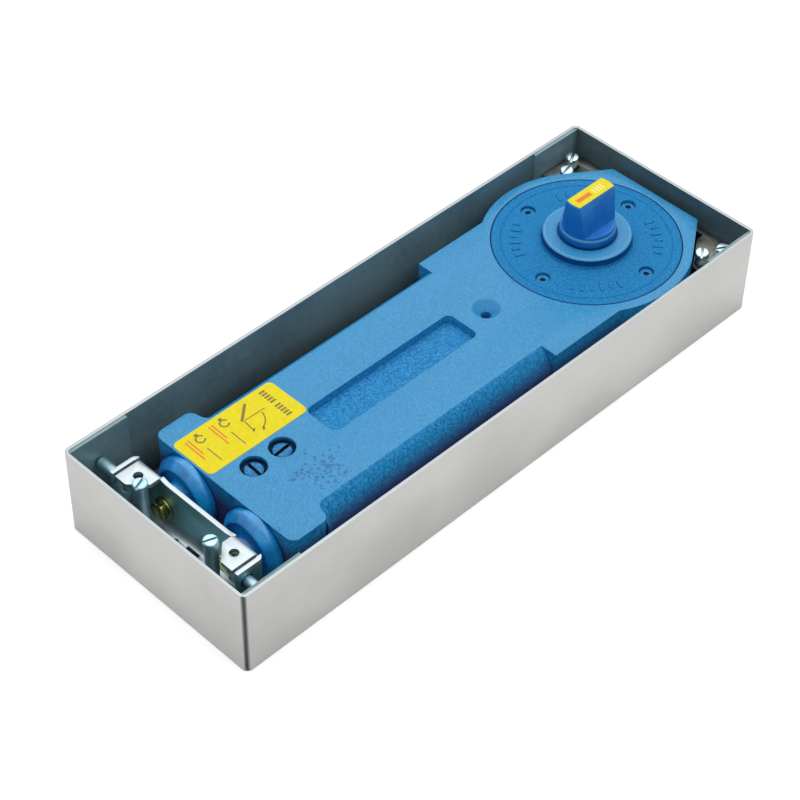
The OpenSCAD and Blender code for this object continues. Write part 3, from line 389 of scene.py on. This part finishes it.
def box_sheet(name, outside, outside_dim, inside, inside_dim):
    """Plated sheet: satin grey outside, dull inside, bright along the cut rim; the inside is dark
    teal with painted shade and painted reflection.
    """
    n = Nodes(name)
    skin = 0.75
    (x0, _, z0), (x1, y1, z1) = millimetres("cement_box")
    x, y, z = n.xyz()
    rim = n.math("GREATER_THAN", z, z1 - 0.12)
    not_rim = n.inverse(rim)
    cavity = n.times(n.math("LESS_THAN", n.math("ABSOLUTE", x), x1 - skin),
                     n.math("LESS_THAN", n.math("ABSOLUTE", y), y1 - skin))
    cavity = n.times(cavity, n.math("GREATER_THAN", z, z0 + skin))
    cavity = n.times(cavity, not_rim)
    cloud = n.noise(0.018)
    fac = n.weigh(n.noise((0.02, 0.02, 0.9), rough=0.6), 0.15, cloud, 0.85)
    # Painted shade: the sheet grows darker towards its foot and lighter towards its rim.
    fac = n.math("ADD", fac, n.value_range(z, z0, z1, -0.10, 0.06))
    outer = n.shades(fac, (0.36, outside_dim), (0.62, outside))
    # The inside is darker and more teal than the sheet: painted shade and painted reflection.
    inner = n.shades(n.weigh(cloud, 0.7, n.noise(0.3, rough=0.6), 0.3),
                     (0.38, inside_dim), (0.60, inside))
    # Painted shade on the inner face of the end wall at +x.
    inner = n.mix(n.value_range(x, x1 - 5, x1 - 1.5, 0.0, 0.6), inner, linear((34, 42, 46)))
    colour = n.mix(cavity, outer, inner)
    # Painted shade towards the floor of the box, inside.
    colour = n.tint(colour, n.value_range(z, z0 + 4, z0 + 24, 0.85, 0.0), cavity, (22, 30, 36))
    edge = n.math("MAXIMUM", rim, n.times(n.edge_wear_and_highlight(0.25), 0.6))
    colour = n.mix(edge, colour, linear((166, 172, 174)))
    # Painted shade in the open seams of the two corners at the regulating end.
    for side in (-1, 1):
        seam = n.within((x0 + 0.5, side * (y1 - 0.4)), 1.7, soft_mm=1.0)
        colour = n.tint(colour, n.times(seam, 0.9), not_rim, (26, 34, 32))
    # Painted shade in grooves and corners.
    colour = n.tint(colour, n.crevice_shade(1.2, low=0.2, high=0.7), 0.95, (16, 20, 22))
    rough = n.math("MULTIPLY_ADD", rim, 0.12, n.value_range(fac, 0.35, 0.65, 0.40, 0.52))
    normal = n.bump(n.noise((0.4, 0.4, 2.4), detail=2), 0.012, strength=0.6, after=n.soften(0.3))
    return n.set(Base_Color=colour, Roughness=n.math("MULTIPLY_ADD", cavity, -0.08, rough),
                 Metallic=n.value_range(cavity, 0, 1, 1.0, 0.25), Normal=normal)


def zinc(name, bright, dim, rough, edge=(226, 240, 243), band=None):
    """Zinc-plated steel: soft clouds in the plating, fine scratches, brighter edges as wear and
    as painted highlight, and painted shade in the crevices.

    rough is its lowest and highest roughness, and band is (low z, high z, colour) of a stretch
    of painted shade in that colour."""
    n = Nodes(name)
    scratch = n.noise((0.25, 0.25, 3.0), rough=0.6)
    fac = n.weigh(n.noise(0.16), 0.75, scratch, 0.25)
    colour = n.shades(fac, (0.30, dim), (0.70, bright))
    if band:
        # Painted shade over the band.
        low, high, band_shade = band
        z = n.xyz()[2]
        stretch = n.times(n.value_range(z, low - 3, low, 0.0, 1.0),
                          n.value_range(z, high - 1, high, 1.0, 0.0))
        colour = n.mix(stretch, colour, linear(band_shade))
    # Edges brightened, as wear and as painted highlight.
    colour = n.tint(colour, n.edge_wear_and_highlight(0.25), 0.7, edge)
    # Painted shade in grooves and corners.
    colour = n.tint(colour, n.crevice_shade(1.6), 0.7, (26, 44, 52))
    return n.set(Base_Color=colour, Metallic=1.0,
                 Roughness=n.value_range(fac, 0.35, 0.65, *rough),
                 Normal=n.bump(scratch, 0.003, strength=0.5, after=n.soften(0.25)))


def machined(name, dark, light, rough, metallic=1.0):
    """Turned or ground metal with a light grain."""
    n = Nodes(name)
    grain = n.noise((0.4, 0.4, 5.0), rough=0.6)
    return n.set(Base_Color=n.shades(grain, (0.35, dark), (0.65, light)), Metallic=metallic,
                 Normal=n.bump(grain, 0.008, strength=0.7, after=n.soften(0.2)),
                 Roughness=n.value_range(grain, 0.3, 0.7, rough, rough + 0.12))


def rubber(name, tone):
    """Black rubber, dusty in patches."""
    n = Nodes(name)
    dust = n.noise(1.2, rough=0.6)
    return n.set(Base_Color=n.ramp(dust, (0.4, grey(tone)), (0.7, grey(tone * 2))),
                 Roughness=n.value_range(dust, 0.3, 0.7, 0.55, 0.75),
                 Normal=n.bump(dust, 0.02, strength=0.5))


def film(name, light, dark):
    """Printed label film with a slight wave and a pale cut edge."""
    n = Nodes(name)
    wave = n.noise(0.12, detail=2)
    colour = n.shades(n.noise(0.5, rough=0.6), (0.35, dark), (0.65, light))
    colour = n.tint(colour, n.edge_wear_and_highlight(0.15), 0.4, (250, 240, 140))
    return n.set(Base_Color=colour, Specular_IOR_Level=0.2,
                 Roughness=n.value_range(wave, 0.3, 0.7, 0.34, 0.48),
                 Normal=n.bump(wave, 0.05, strength=0.5))


def ink(name, colour, faded):
    """Printing ink, a little uneven."""
    n = Nodes(name)
    spread = n.noise(1.4, rough=0.6)
    return n.set(Base_Color=n.shades(spread, (0.35, colour), (0.7, faded)),
                 Roughness=n.value_range(spread, 0.3, 0.7, 0.4, 0.55))


HUB = (SPINDLE, HUB_R, BODY_TOP, HUB_TOP)
MATERIALS = {
    "body_enamel": enamel(
        "body_enamel", (66, 162, 216), (36, 138, 198), (14, 104, 172),
        bump_mm=0.16, grain_size=0.9, rough=0.42, gloss=0.12,
        shade=(BODY_TOP - 10.6, BODY_TOP - 3.6, (61, 60, 111)),
        counterbore_shade=[(centre, COUNTERBORE_R) for centre in VALVES]),
    "cover_enamel": enamel(
        "cover_enamel", (48, 142, 200), (26, 128, 188), (14, 108, 170),
        bump_mm=0.05, grain_size=1.1, rough=0.42, gloss=0.10, hub=HUB),
    "spindle_enamel": smooth_enamel(
        "spindle_enamel", (24, 128, 214), (12, 110, 198), rough=0.36, gloss=0.3, coat=0.1,
        edge=(SPINDLE, COLLAR_EDGE_R, COLLAR_TOP - 1.2, COLLAR_TOP + 0.1)),
    "galvanised_sheet": box_sheet(
        "galvanised_sheet", outside=(190, 190, 188), outside_dim=(174, 175, 172),
        inside=(125, 155, 160), inside_dim=(104, 131, 135)),
    "zinc_plated_steel": zinc(
        "zinc_plated_steel", (196, 214, 218), (172, 196, 202), rough=(0.24, 0.34)),
    "yellow_zinc_steel": zinc(
        "yellow_zinc_steel", (196, 186, 120), (140, 122, 70), rough=(0.20, 0.32),
        edge=(232, 224, 170)),
    "blackened_steel": machined("blackened_steel", (30, 34, 40), (48, 54, 62), rough=0.36),
    "hardened_steel": machined("hardened_steel", (176, 178, 180), (206, 208, 210), rough=0.22),
    "piston_steel": machined("piston_steel", (186, 188, 190), (214, 216, 218), rough=0.24),
    "spring_steel": machined("spring_steel", (92, 94, 98), (128, 130, 134), rough=0.34),
    "bearing_bronze": machined("bearing_bronze", (198, 154, 86), (222, 178, 108), rough=0.26),
    "piston_ring_plastic": machined(
        "piston_ring_plastic", (222, 218, 204), (236, 232, 220), rough=0.5, metallic=0.0),
    "seal_rubber": rubber("seal_rubber", tone=0.018),
    "label_film": film("label_film", (240, 224, 24), (232, 214, 14)),
}
GROUND_TOP = enamel(
    "ground_enamel", (66, 164, 214), (42, 142, 196), (24, 112, 170),
    bump_mm=0.04, grain_size=1.9, rough=0.46, gloss=0.5,
    pits=[((VALVES[0][0] + 1.5, -20.0), 18.0)], hub=HUB)
PLUG_ENAMEL = smooth_enamel("plug_enamel", (28, 156, 226), (10, 104, 176))
# A darker copy of the zinc for the head bracket, which lies in shade: painted shade.
SHADED_ZINC = zinc(
    "shaded_zinc", (132, 132, 126), (92, 94, 90), rough=(0.34, 0.46), edge=(160, 166, 164))
# A darker, more teal copy of the zinc for the side and levelling screws: painted shade, with a
# blue passivation tint.
SHADED_TEAL_ZINC = zinc(
    "shaded_teal_zinc", (178, 208, 218), (132, 168, 184), rough=(0.42, 0.52), edge=(206, 230, 236))
# The band up the bracket's wall is painted shade, darker and more teal.
BRACKET_ZINC = zinc(
    "bracket_zinc", (178, 188, 190), (164, 176, 180), rough=(0.42, 0.52), edge=(200, 210, 212),
    band=(17, BRACKET_TOP - 1.6, (128, 178, 188)))
INK_DARK = ink("ink_dark", (112, 92, 22), (150, 128, 34))
INK_RED = ink("ink_red", (222, 96, 24), (236, 140, 36))
INK_PALE = ink("ink_pale", (250, 246, 190), (244, 236, 160))


# ---------------------------------------------------------------- making pieces

BEVEL_SEGMENTS = 2
BEVEL_DEGREES = 28
MERGE_M = 1e-6
COPLANAR_DEGREES = 0.4


def dress(obj, material):
    obj.data.materials.clear()
    obj.data.materials.append(material)


def smooth_by_angle(obj, degrees):
    """Smooth shading, but for edges sharper than an angle and open ones."""
    for p in obj.data.polygons:
        p.use_smooth = True
    bm = bmesh.new()
    bm.from_mesh(obj.data)
    for e in bm.edges:
        e.smooth = len(e.link_faces) == 2 and e.calc_face_angle() < math.radians(degrees)
    bm.to_mesh(obj.data)
    bm.free()


def add_piece(name, mesh, body, slot, nodes=(), material=None):
    """An object that rides on a body, in a slot's finish or its own material."""
    obj = bpy.data.objects.new(name, mesh)
    bpy.context.scene.collection.objects.link(obj)
    dress(obj, material or MATERIALS[slot])
    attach(obj, body)
    if nodes:
        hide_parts(*nodes)
    return obj


def apply_modifiers(obj):
    graph = bpy.context.evaluated_depsgraph_get()
    mesh = bpy.data.meshes.new_from_object(obj.evaluated_get(graph))
    old = obj.data
    obj.modifiers.clear()
    obj.data = mesh
    bpy.data.meshes.remove(old)


def rounded(node, width_mm, material=None):
    """A copy of a CAD node with its edges rounded."""
    mesh = NODES[node].data.copy()
    bm = bmesh.new()
    bm.from_mesh(mesh)
    bmesh.ops.remove_doubles(bm, verts=bm.verts, dist=MERGE_M)
    bmesh.ops.dissolve_limit(bm, angle_limit=math.radians(COPLANAR_DEGREES), verts=bm.verts,
                             edges=bm.edges)
    bm.to_mesh(mesh)
    bm.free()
    if node in RESHAPE:
        RESHAPE[node](mesh)
    obj = add_piece(node + "_look", mesh, BODY_OF[node], SLOT_OF[node], [node], material)
    bevel = obj.modifiers.new("edges", "BEVEL")
    bevel.width = width_mm * MM
    bevel.segments = BEVEL_SEGMENTS
    bevel.limit_method = "ANGLE"
    bevel.angle_limit = math.radians(BEVEL_DEGREES)
    bevel.use_clamp_overlap = True
    apply_modifiers(obj)
    smooth_by_angle(obj, degrees=40)
    return obj


def strip(a, b, width):
    """Outline of a straight bar from a to b."""
    a, b = Vector(a), Vector(b)
    side = Vector((a.y - b.y, b.x - a.x)).normalized() * (width / 2)
    return [a - side, b - side, b + side, a + side]


def arc_strips(centre, radius, width, start, end, steps=10):
    """Quads along an arc, angles in degrees."""
    inner, outer = radius - width / 2, radius + width / 2
    c = Vector(centre)
    quads = []
    for i in range(steps):
        pair = [math.radians(start + (end - start) * k / steps) for k in (i, i + 1)]
        a, b = [Vector((math.cos(t), math.sin(t))) for t in pair]
        quads.append([c + a * inner, c + a * outer, c + b * outer, c + b * inner])
    return quads


def prisms(name, outlines, z0, z1, body, slot, material=None, taper=0.0):
    """Low prisms over plan outlines, all in millimetres; the top is drawn in by taper."""
    bm = bmesh.new()
    for outline in outlines:
        centre = sum(outline, Vector((0, 0))) / len(outline)
        low = [bm.verts.new((p.x * MM, p.y * MM, z0 * MM)) for p in outline]
        top = []
        for p in outline:
            q = p + (centre - p).normalized() * taper
            top.append(bm.verts.new((q.x * MM, q.y * MM, z1 * MM)))
        bm.faces.new(top)
        bm.faces.new(low[::-1])
        for i in range(len(outline)):
            j = (i + 1) % len(outline)
            bm.faces.new((low[i], low[j], top[j], top[i]))
    bmesh.ops.recalc_face_normals(bm, faces=bm.faces)
    mesh = bpy.data.meshes.new(name)
    bm.to_mesh(mesh)
    bm.free()
    return add_piece(name, mesh, body, slot, material=material)


# ---------------------------------------------------------------- pieces with rounded edges

EDGE_MM = {
    "housing": 0.6, "cement_box": 0.2, "cover": 0.3, "spindle": 0.35, "end_plug_1": 0.4,
    "end_plug_2": 0.4, "adjusting_bracket": 0.3, "head_bracket": 0.25, "cover_screws": 0.2,
    "closing_valve": 0.25, "latching_valve": 0.25, "levelling_screw_1": 0.2,
    "levelling_screw_2": 0.2, "levelling_screw_3": 0.2, "levelling_screw_4": 0.2,
    "side_screw_1": 0.15, "side_screw_2": 0.15, "hold_down_screws": 0.2, "bracket_bolts": 0.25,
    "bracket_washers": 0.15, "bracket_nuts": 0.25, "side_nuts": 0.25, "box_weld_nuts": 0.2,
    "head_bracket_screws": 0.2,
}
LOOKS = {
    "adjusting_bracket": BRACKET_ZINC, "head_bracket": SHADED_ZINC,
    "end_plug_1": PLUG_ENAMEL, "end_plug_2": PLUG_ENAMEL,
    "side_screw_1": SHADED_TEAL_ZINC, "side_screw_2": SHADED_TEAL_ZINC,
    "levelling_screw_1": SHADED_TEAL_ZINC, "levelling_screw_2": SHADED_TEAL_ZINC,
    "closing_valve": painted_head("closing_valve_paint", "closing_valve", depth_mm=0.4),
    "latching_valve": painted_head("latching_valve_paint", "latching_valve", depth_mm=0.4),
    "cover_screws": painted_head("cover_screw_paint", "cover_screws", depth_mm=0.5,
                                 recess=(16, 54, 96)),
}


def lift_hub(mesh):
    """The cover with the hub at its full height and its lip close round the collar."""
    for v in mesh.vertices:
        if v.co.z / MM > HUB_FOOT:
            out = Vector((v.co.x, v.co.y)) - SPINDLE_AXIS * MM
            if COLLAR_R < out.length / MM < COLLAR_R + LIP_REACH:
                out *= 1 - COLLAR_TRIM * MM / out.length
                v.co.x, v.co.y = SPINDLE_AXIS * MM + out
            v.co.z += HUB_LIFT * MM


def lift_collar(mesh):
    """The spindle with its collar carried up by the hub and the flats starting above it."""
    top = millimetres("spindle")[1].z
    rim = COLLAR_R - COLLAR_TRIM
    for v in mesh.vertices:
        z = v.co.z / MM
        if COLLAR_FOOT < z < COVER_TOP:
            v.co.z += HUB_LIFT * MM
        elif z >= COVER_TOP:
            v.co.z += COLLAR_LIFT * MM * min(1, (top - z) / (top - COVER_TOP - FLAT_START))
        out = Vector((v.co.x, v.co.y)) - SPINDLE_AXIS * MM
        if out.length / MM > rim:
            v.co.x, v.co.y = SPINDLE_AXIS * MM + out.normalized() * rim * MM


def grind_top(obj, height_mm):
    """The finish of the ground top on all level faces above a height and in the countersink."""
    obj.data.materials.append(GROUND_TOP)
    for p in obj.data.polygons:
        x, y, z = p.center / MM
        level = p.normal.z > 0.9 and z > height_mm
        sunk = math.hypot(x - COUNTERSINK_X, y) < COUNTERSINK_R and p.normal.z > 0.3
        if level or sunk:
            p.material_index = 1


for name, obj in NODES.items():
    dress(obj, MATERIALS[SLOT_OF[name]])
RESHAPE = {"cover": lift_hub, "spindle": lift_collar}
ROUNDED = {name: rounded(name, width, material=LOOKS.get(name))
           for name, width in EDGE_MM.items()}
grind_top(ROUNDED["housing"], BODY_TOP - 0.5)
grind_top(ROUNDED["cover"], COVER_TOP)


# ---------------------------------------------------------------- closing springs


def spring(node):
    """The closing spring as a piece with its own mesh, riding on its body."""
    obj = add_piece(node + "_look", NODES[node].data.copy(), BODY_OF[node], SLOT_OF[node], [node])
    smooth_by_angle(obj, degrees=70)
    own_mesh(obj)


for name in ("closing_spring_1", "closing_spring_2"):
    spring(name)


# ---------------------------------------------------------------- print and cast marks

INK_MM = 0.02
LEVER_LINES = (((37.1, 20.8), (29.3, 13.9), 1.3), ((30.6, 13.6), (41.4, 13.4), 0.5),
               ((30.2, 13.4), (29.6, 7.6), 0.6))
LEVER_ENDS = (((29.0, 6.4), (30.4, 7.6), 1.0), ((32.6, 4.4), (34.0, 5.2), 1.0))
BAR_GROUPS = (135, -40, -130, 46)
BARS_IN_GROUP = 6
BAR_STEP_DEGREES = 7.6
BAR_INNER_R = (30.6, 29.3)
BAR_OUTER_R = 34.4


def label_print():
    """Generic marks on the casting's label: greeked headings, a lever on an arc, round arrows
    and lines."""
    low, high = millimetres("rating_label")

    def at(u, v):
        return Vector((low.x + u, low.y + v))

    dark = []
    for k in range(5):
        for u, v in ((48.2, 21.0 - 1.75 * k), (48.0, 11.0 - 1.75 * k)):
            dark.append(strip(at(u, v), at(u - 3.0, v), 1.1))
    dark += [strip(at(*a), at(*b), width) for a, b, width in LEVER_LINES]
    dark += arc_strips(at(30.4, 13.6), 8.6, 0.6, -8, -72)
    dark += [strip(at(*a), at(*b), width) for a, b, width in LEVER_ENDS]
    for u in (23.6, 10.6):
        dark += arc_strips(at(u, 18.2), 2.0, 0.8, 20, 330, 14)
        dark.append(strip(at(u - 0.9, 21.2), at(u + 0.9, 21.2), 1.2))
        dark.append(strip(at(u - 1.3, 12.6), at(u - 1.5, 3.6), 0.55))
    red = []
    for u in (17.4, 4.6):
        for k in range(2):
            red.append(strip(at(u + 1.6 * k, 21.0), at(u - 0.2 + 1.6 * k, 8.2 + 3 * k), 0.7))
    face = (high.z, high.z + INK_MM, "closer", "label_film")
    prisms("label_marks_dark", dark, *face, INK_DARK)
    prisms("label_marks_red", red, *face, INK_RED)


def spindle_print():
    """A red bar and a few pale blocks on the label of the spindle's end."""
    low, high = millimetres("spindle_label")
    c = (low + high) / 2
    bar = [strip((c.x - 9.0, c.y - 0.1), (c.x - 0.2, c.y - 0.1), 2.3)]
    blocks = []
    for k in range(4):
        x = c.x + 2.0 + 1.7 * k
        blocks.append(strip((x, c.y - 1.8), (x, c.y + 1.6), 0.7))
    face = (high.z, high.z + INK_MM, "spindle", "label_film")
    prisms("spindle_marks_red", bar, *face, INK_RED)
    prisms("spindle_marks_pale", blocks, *face, INK_PALE)


def cast_marks():
    """Raised bars round the cover, in place of its lettering."""
    bars = []
    for group in BAR_GROUPS:
        for k in range(BARS_IN_GROUP):
            turn = math.radians(group + BAR_STEP_DEGREES * (k - (BARS_IN_GROUP - 1) / 2))
            out = Vector((math.cos(turn), math.sin(turn)))
            start = SPINDLE_AXIS + out * BAR_INNER_R[k % 2]
            bars.append(strip(start, SPINDLE_AXIS + out * BAR_OUTER_R, 1.5))
    prisms("cover_bars", bars, BODY_TOP - 0.1, BODY_TOP + 0.35, "closer", "cover_enamel",
           taper=0.3)


label_print()
spindle_print()
cast_marks()


# ---------------------------------------------------------------- stage, light and camera

FLOOR_HALF_M = 6.0
FLOOR_GAP_M = 0.0002
FLOOR_TONE = 0.86
FLOOR_GLOW = 0.42
WORLD_LIGHT = 0.15
# The camera was fitted to the corners of the box in the photograph.
FOCAL_PX = 2237.41
IMAGE_PX = 800
SENSOR_MM = 36.0
CAMERA_PLACE = (-0.50016, -0.47637, 0.68564)
CAMERA_RIGHT = Vector((0.7093604, -0.7047509, 0.0115743))
CAMERA_DOWN = Vector((-0.4886998, -0.5035967, -0.7124345))
CAMERA_AHEAD = Vector((0.5079176, 0.4997165, -0.7016431))


def floor_white():
    """Pale surface that also shows white to the camera and in reflections."""
    n = Nodes("floor_white")
    path = n.add("LightPath").outputs
    mirrored = n.math("MAXIMUM", path["Is Glossy Ray"], path["Is Transmission Ray"])
    seen = n.math("MAXIMUM", path["Is Camera Ray"], mirrored)
    tint = n.ramp(n.noise(0.01, detail=2), (0.3, grey(FLOOR_TONE * 0.99)),
                  (0.7, grey(FLOOR_TONE)))
    return n.set(Base_Color=tint, Roughness=0.9, Specular_IOR_Level=0.1,
                 Emission_Color=(1, 1, 1, 1), Emission_Strength=n.times(seen, FLOOR_GLOW))


def add_floor():
    s = FLOOR_HALF_M
    mesh = bpy.data.meshes.new("floor")
    mesh.from_pydata([(-s, -s, 0), (s, -s, 0), (s, s, 0), (-s, s, 0)], [], [(0, 1, 2, 3)])
    obj = bpy.data.objects.new("floor", mesh)
    bpy.context.scene.collection.objects.link(obj)
    obj.location.z = -FLOOR_GAP_M
    dress(obj, floor_white())


def add_world():
    """White to the camera and in reflections, and a faint light on the object."""
    world = bpy.data.worlds.new("studio")
    bpy.context.scene.world = world
    world.use_nodes = True
    tree = world.node_tree
    back = tree.nodes["Background"]
    path = tree.nodes.new("ShaderNodeLightPath")
    seen = tree.nodes.new("ShaderNodeMath")
    seen.operation = "MAXIMUM"
    tree.links.new(path.outputs["Is Camera Ray"], seen.inputs[0])
    tree.links.new(path.outputs["Is Glossy Ray"], seen.inputs[1])
    level = tree.nodes.new("ShaderNodeMath")
    level.operation = "MULTIPLY_ADD"
    tree.links.new(seen.outputs[0], level.inputs[0])
    level.inputs[1].default_value = 1 - WORLD_LIGHT
    level.inputs[2].default_value = WORLD_LIGHT
    tree.links.new(level.outputs[0], back.inputs["Strength"])
    back.inputs["Color"].default_value = (1, 1, 1, 1)


def add_area(name, place, target, size, power):
    data = bpy.data.lights.new(name, "AREA")
    data.shape = "RECTANGLE"
    data.size, data.size_y = size
    data.energy = power
    obj = bpy.data.objects.new(name, data)
    bpy.context.scene.collection.objects.link(obj)
    obj.location = place
    obj.rotation_euler = (Vector(target) - Vector(place)).to_track_quat("-Z", "Y").to_euler()


def add_camera():
    data = bpy.data.cameras.new("camera")
    data.sensor_width = SENSOR_MM
    data.lens = FOCAL_PX / IMAGE_PX * SENSOR_MM
    data.clip_start = 0.01
    data.clip_end = 50
    obj = bpy.data.objects.new("camera", data)
    bpy.context.scene.collection.objects.link(obj)
    turn = Matrix((CAMERA_RIGHT, -CAMERA_DOWN, -CAMERA_AHEAD)).transposed()
    obj.matrix_world = Matrix.Translation(CAMERA_PLACE) @ turn.to_4x4()
    bpy.context.scene.camera = obj


add_floor()
add_world()
add_area("key", place=(0.14, 0.12, 1.25), target=(0, 0, 0), size=(2.8, 2.8), power=33.5)
add_area("fill", place=(-0.5, -0.9, 0.5), target=(0, 0, 0.02), size=(0.9, 0.5), power=0.4)
add_camera()
bpy.context.scene.view_settings.view_transform = "Standard"
